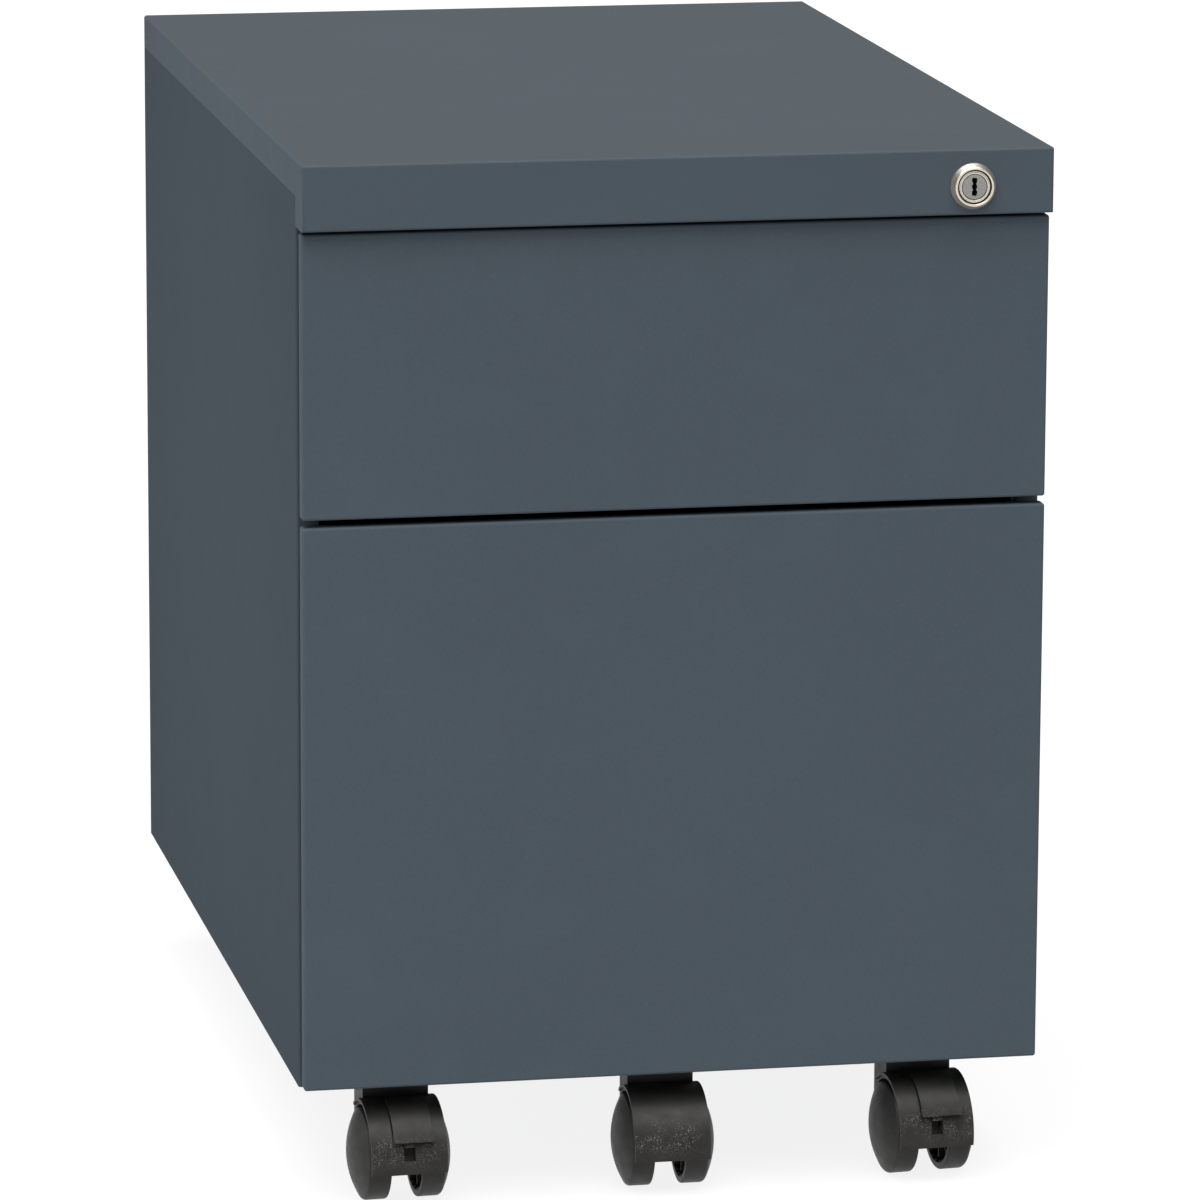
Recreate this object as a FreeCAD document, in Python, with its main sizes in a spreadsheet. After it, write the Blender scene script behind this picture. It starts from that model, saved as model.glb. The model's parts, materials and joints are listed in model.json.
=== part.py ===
"""Mobile steel pedestal with a box drawer over a file drawer, on four corner castors and one drawer castor.

Frame: +X right seen from the front, front towards -Y, +Z up, floor at z = 0.
The origin is the middle of the bounding box's underside. Millimetres.
"""
import FreeCAD, Part
import os
import re
import Sketcher

SIZES = {
    # carcass
    "width": 400,
    "depth": 600,
    "body_height": 498,
    "castor_height": 65,
    "sheet": 1,
    "bend": 1.5,
    "edge_return": 12,
    "lip_height": 35,
    "lip_depth": 22,
    "top_flange": 19,
    "base_flange": 12,
    "notch_half": 45,
    "notch_depth": 70,
    # drawer fronts, heights measured from the underside of the carcass
    "front_depth": 14,
    "pan_depth": 8.5,
    "front_setback": 6,
    "front_margin": 0.5,
    "liner_inset": 4,
    "file_front_low": 2,
    "file_front_high": 306,
    "upper_front_low": 310,
    "upper_front_high": 461,
    # drawer trays, heights measured from the floor
    "tray_half": 174.3,
    "upper_tray_low": 387,
    "upper_tray_high": 494,
    "upper_tray_length": 522,
    "file_tray_low": 80,
    "file_tray_high": 312,
    "file_tray_length": 540,
    "front_screw_x": 150,
    "front_screw_inset": 18,
    "screw_hole": 2.2,
    "rail_spacing": 330,
    "rail_rise": 9,
    "rail_gauge": 1.5,
    "bracket_half": 30,
    "bracket_gauge": 1.5,
    # runners
    "runner_plane": 187,
    "runner_thick": 12.7,
    "runner_gauge": 1.3,
    "runner_length": 500,
    "runner_start": 29.5,
    "upper_runner_z": 415,
    "file_runner_z": 200,
    "upper_runner_half": 17.5,
    "file_runner_half": 22.5,
    "middle_half": 17.4,
    "inner_half": 12.3,
    "upright_width": 28,
    "upright_gauge": 1.2,
    # lock
    "lock_x": 156,
    "lock_drop": 19.5,
    "bezel_radius": 12.25,
    "bezel_proud": 5,
    "barrel_radius": 9.5,
    "barrel_length": 19,
    "plug_radius": 7.75,
    "plug_fit": 0.06,
    "key_width": 2.5,
    "key_height": 9.5,
    "key_depth": 14,
    "crank_arm": 8,
    "crank_pin_radius": 2,
    "pin_play": 0.5,
    "bar_low": 238,
    "bar_gauge": 2,
    "bar_inner": 188.5,
    "bar_outer": 197.5,
    "hook_reach": 180,
    "hook_height": 8.5,
    "hook_clearance": 3,
    "catch_half": 4.5,
    "upper_catch_z": 462,
    "file_catch_z": 254,
    "guide_height": 12,
    # castors
    "axle_height": 25,
    "trail": 20,
    "wheel_radius": 25,
    "wheel_inner": 8.2,
    "wheel_outer": 27.4,
    "hood_radius": 29.5,
    "hood_bore": 26.3,
    "hood_half": 20.6,
    "hood_rim": 1.2,
    "rim_bore": 28,
    "web_half": 6.5,
    "axle_radius": 3,
    "wheel_fit": 0.08,
    "pintle_radius": 5,
    "pintle_fit": 0.08,
    "plate_gauge": 2.5,
    "plate_half": 21,
    "plate_corner": 4,
    "screw_spacing": 32,
    "castor_screw_hole": 2.1,
    "pintle_end": 38,
    "turret_half": 18,
    "turret_depth": 13.5,
    "turret_low": 33,
    "turret_high": 60.8,
    "turret_corner": 7,
    "hood_front": -10,
    "hood_rear": 128,
    "boss_radius": 11,
    "axle_half": 24,
    "castor_x": 143.5,
    "castor_shift": -2.8,
    "castor_front": 50,
    "castor_rear": 58,
    "lever_left": -8.5,
    "lever_right": 13,
    "lever_radius": 31.7,
    "lever_bore": 28.4,
    "lip_radius": 33.1,
    "lip_bore": 31.5,
    "lip_reach": 4,
    "lip_overhang": 0.5,
    "lever_play": 0.25,
    "lever_front": 27,
    "lever_rear": 80,
    "tab_half": 2.8,
    "pivot_radius": 27.85,
    "pivot_angle": 78,
    "pivot_pin": 1.1,
    "wheel_hub": 7,
    "tread_end": 19,
}

TOP = "(castor_height + body_height)"
UNDER = "castor_height"
SEAM = f"({TOP} - top_flange)"
LIP = "((bezel_proud - depth) / 2)"
LEFT_CASTOR, RIGHT_CASTOR, DRAWER_CASTOR = "(castor_shift - castor_x)", "(castor_shift + castor_x)", "(-1)"
REAR = "((bezel_proud + depth) / 2)"
EDGE = f"({LIP} + lip_depth + 0.5)"
FRONT_FACE = f"({LIP} + front_setback)"
FRONT_BACK = f"({FRONT_FACE} + front_depth)"
LOCK_Z = f"({TOP} - lock_drop)"
RUNNER_Y = f"({LIP} + runner_start)"

doc = FreeCAD.newDocument("pedestal")
sizes = doc.addObject("Spreadsheet::Sheet", "sizes")
nodes = []


def fill_sheet():
    for row, (alias, number) in enumerate(SIZES.items(), start=1):
        sizes.set(f"A{row}", alias)
        sizes.set(f"B{row}", str(number))
        sizes.setAlias(f"B{row}", alias)
    doc.recompute()


def formula(text):
    """The text with each size that it names turned into a reference to the sheet."""
    return re.sub(r"[a-z_]\w*", lambda word: "sizes." + word[0] if word[0] in SIZES else word[0], str(text))


def number(text):
    """What a formula gives at present."""
    return float(sizes.evalExpression(formula(text)))


def part_of(kind, label, keep=True):
    """A new object of the document. A kept one is a node and is written to a file of its own."""
    made = doc.addObject(kind, label)
    made.Label = label
    if keep:
        nodes.append(made)
    return made


def put(thing, x=0, y=0, z=0, turn=0, axis=(0, 0, 1)):
    """Turn about an axis in degrees, and a place bound to the sheet."""
    thing.Placement = FreeCAD.Placement(FreeCAD.Vector(), FreeCAD.Rotation(FreeCAD.Vector(*axis), turn))
    for name, text in zip("xyz", (x, y, z)):
        thing.setExpression(f"Placement.Base.{name}", formula(text))
    return thing


# ---- Part primitives ----

def block(label, low, high, keep=True):
    """Box between two corners."""
    box = part_of("Part::Box", label, keep)
    for name, start, end in zip(("Length", "Width", "Height"), low, high):
        box.setExpression(name, formula(f"({end}) - ({start})"))
    return put(box, *low)


AXIS_TURN = {"X": ((0, 1, 0), 90), "Y": ((1, 0, 0), -90), "Z": ((0, 0, 1), 0)}


def rod(label, radius, low, length, direction, keep=True):
    """Cylinder from a point along an axis."""
    cylinder = part_of("Part::Cylinder", label, keep)
    cylinder.setExpression("Radius", formula(radius))
    cylinder.setExpression("Height", formula(length))
    axis, turn = AXIS_TURN[direction]
    return put(cylinder, *low, turn=turn, axis=axis)


def fused(label, shapes, keep=True):
    made = part_of("Part::MultiFuse", label, keep)
    made.Shapes = shapes
    made.Refine = True
    return made


def cut(label, base, tool, keep=True):
    made = part_of("Part::Cut", label, keep)
    made.Base = base
    made.Tool = tool
    return made


def group(label, members):
    """Identical separate solids that share one node."""
    made = part_of("Part::Compound", label)
    made.Links = members
    return made


# ---- PartDesign features ----

def body_named(label, keep=True):
    return part_of("PartDesign::Body", label, keep)


SHIFT_SIGN = {"XY_Plane": 1, "XZ_Plane": -1, "YZ_Plane": 1}


def empty_sketch(body, role, level, shift=("0", "0")):
    """A sketch on one of the body's own planes, moved to a level along the axis across that plane."""
    sketch = body.newObject("Sketcher::SketchObject", f"{body.Name}_sketch")
    plane = next(feature for feature in body.Origin.OriginFeatures if feature.Role == role)
    sketch.AttachmentSupport = (plane, [""])
    sketch.MapMode = "FlatFace"
    sketch.setExpression("AttachmentOffset.Base.x", formula(shift[0]))
    sketch.setExpression("AttachmentOffset.Base.y", formula(shift[1]))
    sketch.setExpression("AttachmentOffset.Base.z", formula(f"({level}) * {SHIFT_SIGN[role]}"))
    return sketch


def arc_middle(start, end, radius):
    """The middle of the arc between two points. A negative radius bulges to the left of the way along it."""
    chord = end - start
    across = FreeCAD.Vector(chord.y, -chord.x, 0).normalize()
    size = abs(radius)
    rise = size - max(size * size - chord.Length ** 2 / 4, 0) ** 0.5
    return (start + end) * 0.5 + across * (rise if radius > 0 else -rise)


def pin_point(sketch, index, end, x, y):
    """One end (1 or 2) or the centre (3) of a piece of geometry, held by dimensions from the origin."""
    for kind, text, own_axis in (("DistanceX", x, -2), ("DistanceY", y, -1)):
        amount = number(text)
        if abs(amount) < 1e-9:
            sketch.addConstraint(Sketcher.Constraint("PointOnObject", index, end, own_axis))
        else:
            made = sketch.addConstraint(Sketcher.Constraint(kind, -1, 1, index, end, amount))
            sketch.setExpression(f"Constraints[{made}]", formula(text))


def set_radius(sketch, index, text):
    made = sketch.addConstraint(Sketcher.Constraint("Radius", index, abs(number(text))))
    sketch.setExpression(f"Constraints[{made}]", formula(f"abs({text})"))


def draw_outline(sketch, points):
    """Closed outline through points (x, y). A third value is the radius of the arc that leaves the point."""
    places = [FreeCAD.Vector(number(point[0]), number(point[1]), 0) for point in points]
    after = [(index + 1) % len(points) for index in range(len(points))]
    for index, point in enumerate(points):
        start, end = places[index], places[after[index]]
        if len(point) > 2:
            sketch.addGeometry(Part.Arc(start, arc_middle(start, end, number(point[2])), end), False)
        else:
            sketch.addGeometry(Part.LineSegment(start, end), False)
    # an arc that runs clockwise is stored with its two ends exchanged
    first = [1 if (sketch.getPoint(index, 1) - place).Length < 1e-6 else 2 for index, place in enumerate(places)]
    for index, point in enumerate(points):
        sketch.addConstraint(Sketcher.Constraint("Coincident", index, 3 - first[index], after[index],
                                                 first[after[index]]))
    for index, point in enumerate(points):
        pin_point(sketch, index, first[index], point[0], point[1])
        if len(point) > 2:
            set_radius(sketch, index, point[2])


def draw_circle(sketch, x, y, radius):
    centre = FreeCAD.Vector(number(x), number(y), 0)
    index = sketch.addGeometry(Part.Circle(centre, FreeCAD.Vector(0, 0, 1), number(radius)), False)
    pin_point(sketch, index, 3, x, y)
    set_radius(sketch, index, radius)


def draw(sketch, shapes):
    """A list of outlines, or one outline. A circle is ("circle", x, y, radius)."""
    for shape in shapes:
        if shape[0] == "circle":
            draw_circle(sketch, *shape[1:])
        else:
            draw_outline(sketch, shape)


def add(body, role, shape, low, high):
    """Pad of one outline between two levels along the axis across its plane."""
    sketch = empty_sketch(body, role, high if role == "XZ_Plane" else low)
    draw(sketch, [shape])
    pad = body.newObject("PartDesign::Pad", f"{body.Name}_pad")
    pad.Profile = sketch
    pad.setExpression("Length", formula(f"({high}) - ({low})"))
    doc.recompute()
    return pad


def carve(body, role, shapes, low, high):
    """Pocket of outlines between two levels. It must take some of the body away."""
    before = body.Shape.Volume
    sketch = empty_sketch(body, role, low if role == "XZ_Plane" else high)
    draw(sketch, shapes)
    pocket = body.newObject("PartDesign::Pocket", f"{body.Name}_pocket")
    pocket.Profile = sketch
    pocket.setExpression("Length", formula(f"({high}) - ({low})"))
    doc.recompute()
    if not body.Shape.Volume < before - 1e-6:
        raise RuntimeError(f"a pocket in {body.Label} cuts nothing")
    return pocket


def turned(body, points, axis, level="0", shift=("0", "0")):
    """Revolution of an outline on the XY plane about the sketch's own H_Axis or V_Axis."""
    sketch = empty_sketch(body, "XY_Plane", level, shift)
    draw(sketch, [points])
    made = body.newObject("PartDesign::Revolution", f"{body.Name}_turned")
    made.Profile = sketch
    made.ReferenceAxis = (sketch, [axis])
    made.Angle = 360
    doc.recompute()
    return made


def round_edges(body, radius, wanted):
    """Fillet on the straight edges whose direction and middle the test accepts."""
    doc.recompute()
    base = body.Tip
    names = []
    for index, edge in enumerate(base.Shape.Edges, start=1):
        if not isinstance(edge.Curve, Part.Line):
            continue
        along = edge.tangentAt(edge.FirstParameter)
        if wanted(along, edge.CenterOfMass):
            names.append(f"Edge{index}")
    fillet = body.newObject("PartDesign::Fillet", f"{body.Name}_rounding")
    fillet.Base = (base, names)
    fillet.setExpression("Radius", formula(radius))
    doc.recompute()
    return fillet


def rectangle(low_x, low_y, high_x, high_y):
    return [(low_x, low_y), (high_x, low_y), (high_x, high_y), (low_x, high_y)]


def near(one, other, reach=0.05):
    return abs(one - other) < reach


# ---- carcass ----

def side_panel(side, sign):
    """Folded side with front and rear returns, and a strip joggled in under the top's flange."""
    outer = f"{sign} * width / 2"
    inner = f"{sign} * (width / 2 - sheet)"
    turn = f"{sign} * (width / 2 - edge_return)"
    plan = [
        (outer, EDGE), (turn, EDGE), (turn, f"{EDGE} + sheet"), (inner, f"{EDGE} + sheet"),
        (inner, f"{REAR} - sheet"), (turn, f"{REAR} - sheet"), (turn, REAR), (outer, REAR),
    ]
    body = body_named(f"{side}_side_panel")
    add(body, "XY_Plane", plan, UNDER, SEAM)
    half = number("width / 2")
    corners = (number(EDGE), number(REAR))
    round_edges(body, "bend", lambda way, at: abs(way.z) > 0.9 and near(abs(at.x), half)
                and min(abs(at.y - corner) for corner in corners) < 0.05)
    strip = [
        (inner, f"{SEAM} - 8"), (inner, f"{TOP} - sheet - 1"),
        (f"{sign} * (width / 2 - 2 * sheet)", f"{TOP} - sheet - 1"),
        (f"{sign} * (width / 2 - 2 * sheet)", f"{SEAM} - 8"),
    ]
    add(body, "XZ_Plane", strip, f"{EDGE} + 2", f"{REAR} - 2")
    return body


def top_panel():
    """Inverted tray whose front edge folds into a deep hollow lip that holds the lock."""
    body = body_named("top_panel")
    half = number("width / 2")
    add(body, "XY_Plane", rectangle("-width / 2", LIP, "width / 2", REAR), SEAM, TOP)
    add(body, "XY_Plane", rectangle("-width / 2", LIP, "width / 2", f"{LIP} + lip_depth"),
        f"{TOP} - lip_height", f"{TOP} - 1")
    lip, rear, top = number(LIP), number(REAR), number(TOP)
    low = number(f"{TOP} - lip_height")
    round_edges(body, "bend", lambda way, at: (
        (near(at.z, top) and (near(abs(at.x), half) or near(at.y, lip) or near(at.y, rear)))
        or (near(abs(at.x), half) and (near(at.y, lip) or near(at.y, rear)) and abs(way.z) > 0.9)
        or (near(at.z, low) and near(at.y, lip))))
    inside = ("-width / 2 + sheet", "width / 2 - sheet")
    carve(body, "XY_Plane", [rectangle(inside[0], f"{LIP} + sheet", inside[1], f"{REAR} - sheet")],
          f"{SEAM} - 0.01", f"{TOP} - sheet")
    carve(body, "XY_Plane", [rectangle(inside[0], f"{LIP} + sheet", inside[1], f"{LIP} + lip_depth - sheet")],
          f"{TOP} - lip_height + sheet", SEAM)
    carve(body, "XZ_Plane", [rectangle("lock_x - 14", f"{TOP} - 30", "lock_x + 14", f"{SEAM} + 1")],
          f"{LIP} + lip_depth - 2 * sheet + 0.5", f"{LIP} + lip_depth + 1")
    carve(body, "XZ_Plane", [("circle", "lock_x", LOCK_Z, "barrel_radius + 0.1")], f"{LIP} - 1", f"{LIP} + 2")
    return body


def base_plan(inset):
    """Plan of the base pan with the notch that the drawer castor's bracket passes through."""
    half = f"(width / 2 - sheet - 0.1 - {inset})"
    notch = f"(notch_half + {inset})"
    front = f"({EDGE} + sheet + 0.1 + {inset})"
    return [
        (f"-{half}", front), (f"-{notch}", front), (f"-{notch}", f"{EDGE} + notch_depth + {inset}"),
        (notch, f"{EDGE} + notch_depth + {inset}"), (notch, front), (half, front),
        (half, f"{REAR} - 2 * sheet - {inset}"), (f"-{half}", f"{REAR} - 2 * sheet - {inset}"),
    ]


def base_panel():
    """Shallow pan, flanged upwards all round, that carries the castors."""
    body = body_named("base_panel")
    add(body, "XY_Plane", base_plan("0"), UNDER, f"{UNDER} + base_flange")
    carve(body, "XY_Plane", [base_plan("sheet")], f"{UNDER} + sheet", f"{UNDER} + base_flange + 1")
    holes = [("circle", x, y, "castor_screw_hole") for x, y in corner_screw_places()]
    carve(body, "XY_Plane", holes, f"{UNDER} - 1", f"{UNDER} + sheet + 1")
    return body


def back_panel():
    """Flat panel held inside the rear returns."""
    body = body_named("back_panel")
    half = "(width / 2 - sheet - 0.1)"
    low, high = f"({UNDER} + sheet)", f"({TOP} - sheet - 1)"
    add(body, "XZ_Plane", rectangle(f"-{half}", low, half, high), f"{REAR} - 2 * sheet", f"{REAR} - sheet")
    return body


def upright(place, side, sign, low_y):
    """Channel that stands against the side panel and carries one end of both runners."""
    body = body_named(f"{place}_{side}_upright")
    web = f"{sign} * runner_plane"
    inside = f"{sign} * (runner_plane + upright_gauge)"
    foot = f"{sign} * (width / 2 - sheet)"
    end_y = f"({low_y} + upright_width)"
    plan = [
        (web, low_y), (foot, low_y), (foot, f"{low_y} + upright_gauge"), (inside, f"{low_y} + upright_gauge"),
        (inside, f"{end_y} - upright_gauge"), (foot, f"{end_y} - upright_gauge"), (foot, end_y), (web, end_y),
    ]
    add(body, "XY_Plane", plan, f"{UNDER} + base_flange + 1", f"{SEAM} - 10")
    return body


# ---- runners ----

def channel(label, sign, near_side, far_side, half, level, start, keep=True):
    """Runner member: a channel whose web is on near_side, both measured inwards from the upright's face."""
    body = body_named(label, keep)
    away = "runner_gauge" if number(far_side) > number(near_side) else "-runner_gauge"

    def across(distance):
        return f"{sign} * (runner_plane - ({distance}))"

    web, lip, skin = across(near_side), across(far_side), across(f"{near_side} + {away}")
    outline = [
        (web, f"{level} - {half}"), (lip, f"{level} - {half}"), (lip, f"{level} - {half} + runner_gauge"),
        (skin, f"{level} - {half} + runner_gauge"), (skin, f"{level} + {half} - runner_gauge"),
        (lip, f"{level} + {half} - runner_gauge"), (lip, f"{level} + {half}"), (web, f"{level} + {half}"),
    ]
    add(body, "XZ_Plane", outline, start, f"{start} + runner_length")
    return body


def runners():
    """Box drawer: outer and inner members. File drawer: outer, middle and inner members."""
    for side, sign in (("left", -1), ("right", 1)):
        channel(f"upper_{side}_runner_outer", sign, "0", "10", "upper_runner_half", "upper_runner_z", RUNNER_Y)
        channel(f"file_{side}_runner_outer", sign, "0", "10", "file_runner_half", "file_runner_z", RUNNER_Y)
    members = {"upper_runner_inner": [], "file_runner_inner": [], "file_runner_middle": []}
    for side, sign in (("left", -1), ("right", 1)):
        members["upper_runner_inner"].append(
            channel(f"upper_inner_{side}", sign, "runner_thick", "4.5", "inner_half", "upper_runner_z",
                    f"{RUNNER_Y} + 2", keep=False))
        members["file_runner_inner"].append(
            channel(f"file_inner_{side}", sign, "runner_thick", "5.5", "inner_half", "file_runner_z",
                    f"{RUNNER_Y} + 2", keep=False))
        members["file_runner_middle"].append(
            channel(f"file_middle_{side}", sign, "2.6", "11", "middle_half", "file_runner_z",
                    f"{RUNNER_Y} + 1", keep=False))
    for label, pair in members.items():
        group(label, pair)


# ---- drawers ----

def drawer_front(name, low, high):
    """Folded pan with rounded edges, open at the back."""
    body = body_named(f"{name}_front")
    half = "(width / 2 - front_margin)"
    low, high = f"({UNDER} + {low})", f"({UNDER} + {high})"
    back = f"({FRONT_FACE} + pan_depth)"
    add(body, "XZ_Plane", rectangle(f"-{half}", low, half, high), FRONT_FACE, back)
    face = number(FRONT_FACE)
    half_now = number(half)
    round_edges(body, "bend", lambda way, at: near(at.y, face) or (abs(way.y) > 0.9 and near(abs(at.x), half_now)))
    inner = f"({half} - sheet)"
    carve(body, "XZ_Plane", [rectangle(f"-{inner}", f"{low} + sheet", inner, f"{high} - sheet")],
          f"{FRONT_FACE} + sheet", f"{back} + 1")
    return body


def screw_places(low, high):
    """Four screws that join a tray's front wall to the liner of its front."""
    heights = (f"({low} + front_screw_inset)", f"({high} - front_screw_inset)")
    return [(x, z) for x in ("-front_screw_x", "front_screw_x") for z in heights]


def front_liner(name, low, high, tray_low, tray_high):
    """Inner pan, open towards the front, welded inside the front pan and narrower than it."""
    body = body_named(f"{name}_liner")
    inset = "(sheet + liner_inset)"
    half = f"(width / 2 - front_margin - {inset})"
    low, high = f"({UNDER} + {low} + {inset})", f"({UNDER} + {high} - {inset})"
    add(body, "XZ_Plane", rectangle(f"-{half}", low, half, high), f"{FRONT_FACE} + sheet", FRONT_BACK)
    carve(body, "XZ_Plane", [rectangle(f"-({half} - sheet)", f"{low} + sheet", f"{half} - sheet", f"{high} - sheet")],
          FRONT_FACE, f"{FRONT_BACK} - sheet")
    holes = [("circle", x, z, "screw_hole") for x, z in screw_places(tray_low, tray_high)]
    carve(body, "XZ_Plane", holes, f"{FRONT_BACK} - sheet - 1", f"{FRONT_BACK} + 1")
    return body


def tray(name, low, high, length):
    """Open box of five flat sheets welded edge to edge."""
    back = f"({FRONT_BACK} + {length})"
    floor = f"({low} + sheet)"
    walls = [
        ("bottom", ("-tray_half", FRONT_BACK, low), ("tray_half", back, floor)),
        ("left", ("-tray_half", FRONT_BACK, floor), ("-tray_half + sheet", back, high)),
        ("right", ("tray_half - sheet", FRONT_BACK, floor), ("tray_half", back, high)),
        ("rear", ("-tray_half + sheet", f"{back} - sheet", floor), ("tray_half - sheet", back, high)),
    ]
    sheets = [block(f"{name}_tray_{place}", start, end, keep=False) for place, start, end in walls]
    front = body_named(f"{name}_tray_front", keep=False)
    add(front, "XZ_Plane", rectangle("-tray_half + sheet", floor, "tray_half - sheet", high), FRONT_BACK,
        f"{FRONT_BACK} + sheet")
    holes = [("circle", x, z, "screw_hole") for x, z in screw_places(low, high)]
    carve(front, "XZ_Plane", holes, f"{FRONT_BACK} - 1", f"{FRONT_BACK} + sheet + 0.5")
    return group(f"{name}_tray", sheets + [front])


def front_screws(name, low, high):
    """Pan-head screws, heads inside the tray."""
    screws = []
    for index, (x, z) in enumerate(screw_places(low, high)):
        head = rod(f"{name}_head_{index}", "4", (x, f"{FRONT_BACK} + sheet", z), "2.4", "Y", keep=False)
        shank = rod(f"{name}_shank_{index}", "2", (x, f"{FRONT_BACK} - 7", z), "8.2", "Y", keep=False)
        screws.append(fused(f"{name}_screw_{index}", [head, shank], keep=False))
    group(f"{name}_screws", screws)


def catch(name, level):
    """Angle on the drawer's right side that the lock bar's hook stops."""
    body = body_named(f"{name}_catch")
    tongue = f"{EDGE} + 9"
    tip, skin = "hook_reach + 4", "tray_half + 1.5"
    plan = [
        ("tray_half", tongue), (tip, tongue), (tip, f"{tongue} + 2"), (skin, f"{tongue} + 2"),
        (skin, f"{tongue} + 20"), ("tray_half", f"{tongue} + 20"),
    ]
    add(body, "XY_Plane", plan, f"{level} - catch_half", f"{level} + catch_half")
    return body


def hanging_rails():
    """Two rails for suspension files, set on the file tray's side walls."""
    rails = []
    for side, sign in (("left", -1), ("right", 1)):
        body = body_named(f"hanging_rail_{side}", keep=False)
        wall = f"{sign} * (tray_half - sheet)"
        hem = f"{sign} * (tray_half - sheet - rail_gauge)"
        rib = f"{sign} * (rail_spacing + rail_gauge) / 2"
        edge = f"{sign} * (rail_spacing - rail_gauge) / 2"
        high = "file_tray_high"
        outline = [
            (wall, f"{high} - 14"), (wall, f"{high} - 1"), (rib, f"{high} - 1"), (rib, f"{high} + rail_rise"),
            (edge, f"{high} + rail_rise"), (edge, f"{high} - 1 - rail_gauge"), (hem, f"{high} - 1 - rail_gauge"),
            (hem, f"{high} - 14"),
        ]
        add(body, "XZ_Plane", outline, f"{FRONT_BACK} + 8", f"{FRONT_BACK} + file_tray_length - 8")
        rails.append(body)
    group("hanging_rails", rails)


def castor_bracket():
    """Hat-shaped channel under the file drawer, down to the drawer castor's plate."""
    body = body_named("drawer_castor_bracket")
    low, high = UNDER, "file_tray_low"
    foot, inner, outer = "(bracket_half + 12)", "bracket_half", "(bracket_half + bracket_gauge)"
    under_foot = f"{high} - bracket_gauge"
    outline = [
        (f"-{foot}", high), (f"-{foot}", under_foot), (f"-{outer}", under_foot), (f"-{outer}", low), (outer, low),
        (outer, under_foot), (foot, under_foot), (foot, high), (inner, high), (inner, f"{low} + bracket_gauge"),
        (f"-{inner}", f"{low} + bracket_gauge"), (f"-{inner}", high),
    ]
    centre = f"({LIP} + castor_front)"
    add(body, "XZ_Plane", outline, f"{centre} - 26", f"{centre} + 30")
    holes = [("circle", x, y, "castor_screw_hole") for x, y in plate_holes(DRAWER_CASTOR, centre)]
    carve(body, "XY_Plane", holes, f"{low} - 1", f"{low} + 2")
    return body


def drawers():
    drawer_front("upper_drawer", "upper_front_low", "upper_front_high")
    front_liner("upper_drawer", "upper_front_low", "upper_front_high", "upper_tray_low", "upper_tray_high")
    tray("upper_drawer", "upper_tray_low", "upper_tray_high", "upper_tray_length")
    front_screws("upper_front", "upper_tray_low", "upper_tray_high")
    catch("upper_drawer", "upper_catch_z")
    drawer_front("file_drawer", "file_front_low", "file_front_high")
    front_liner("file_drawer", "file_front_low", "file_front_high", "file_tray_low", "file_tray_high")
    tray("file_drawer", "file_tray_low", "file_tray_high", "file_tray_length")
    front_screws("file_front", "file_tray_low", "file_tray_high")
    catch("file_drawer", "file_catch_z")
    hanging_rails()
    castor_bracket()


# ---- lock ----

def lock_housing():
    """Barrel with a coned bezel whose face is recessed around the plug."""
    body = body_named("lock_housing")
    bore = "plug_radius + plug_fit"
    outline = [
        (bore, "-bezel_proud + 1.5"), ("plug_radius + 1.4", "-bezel_proud + 1.5"),
        ("plug_radius + 1.4", "-bezel_proud + 0.3"), ("plug_radius + 1.7", "-bezel_proud"),
        ("bezel_radius - 2", "-bezel_proud"), ("bezel_radius", "-1.3"), ("bezel_radius", "0"),
        ("barrel_radius", "0"), ("barrel_radius", "barrel_length"), (bore, "barrel_length"),
    ]
    turned(body, outline, "V_Axis")
    return put(body, "lock_x", LIP, LOCK_Z)


def lock_nut():
    """Hexagon nut behind the lip's front wall."""
    body = body_named("lock_nut")
    start = f"{LIP} + sheet"
    hexagon = [(f"lock_x + 13.5 * cos({turn})", f"{LOCK_Z} + 13.5 * sin({turn})") for turn in range(0, 360, 60)]
    add(body, "XZ_Plane", hexagon, start, f"{start} + 4")
    carve(body, "XZ_Plane", [("circle", "lock_x", LOCK_Z, "barrel_radius")], f"{start} - 1", f"{start} + 5")
    return body


def lock_plug():
    """Keyed plug with a shank at the rear for the crank."""
    body = body_named("lock_plug")
    face, shoulder, end = "-bezel_proud + 0.9", "barrel_length + 1.8", "barrel_length + 6.1"
    outline = [
        ("0", face), ("plug_radius - 0.6", face), ("plug_radius", f"{face} + 0.6"), ("plug_radius", shoulder),
        ("4", shoulder), ("4", end), ("0", end),
    ]
    turned(body, outline, "V_Axis")
    slot = rectangle("-key_width / 2", "-key_height / 2", "key_width / 2", "key_height / 2")
    carve(body, "XZ_Plane", [slot], f"{face} - 0.5", f"{face} + key_depth")
    return put(body, "lock_x", LIP, LOCK_Z)


def lock_crank():
    """Flat arm on the plug's shank with a pin that works in the lock bar's slot."""
    body = body_named("lock_crank")
    low, high = "barrel_length + 3.9", "barrel_length + 6.1"
    reach = "crank_arm * cos(45)"
    add(body, "XZ_Plane", ("circle", "0", "0", "6"), low, high)
    arm = [
        ("4 * cos(135)", "4 * sin(135)"), ("4 * cos(315)", "4 * sin(315)"),
        (f"{reach} + 2.6 * cos(315)", f"{reach} + 2.6 * sin(315)"),
        (f"{reach} + 2.6 * cos(135)", f"{reach} + 2.6 * sin(135)"),
    ]
    add(body, "XZ_Plane", arm, low, high)
    add(body, "XZ_Plane", ("circle", reach, reach, "3.4"), low, high)
    add(body, "XZ_Plane", ("circle", reach, reach, "crank_pin_radius"), high, f"{high} + 3.2")
    carve(body, "XZ_Plane", [("circle", "0", "0", "4")], f"{low} - 1", f"{high} + 1")
    return put(body, "lock_x", LIP, LOCK_Z)


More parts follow.
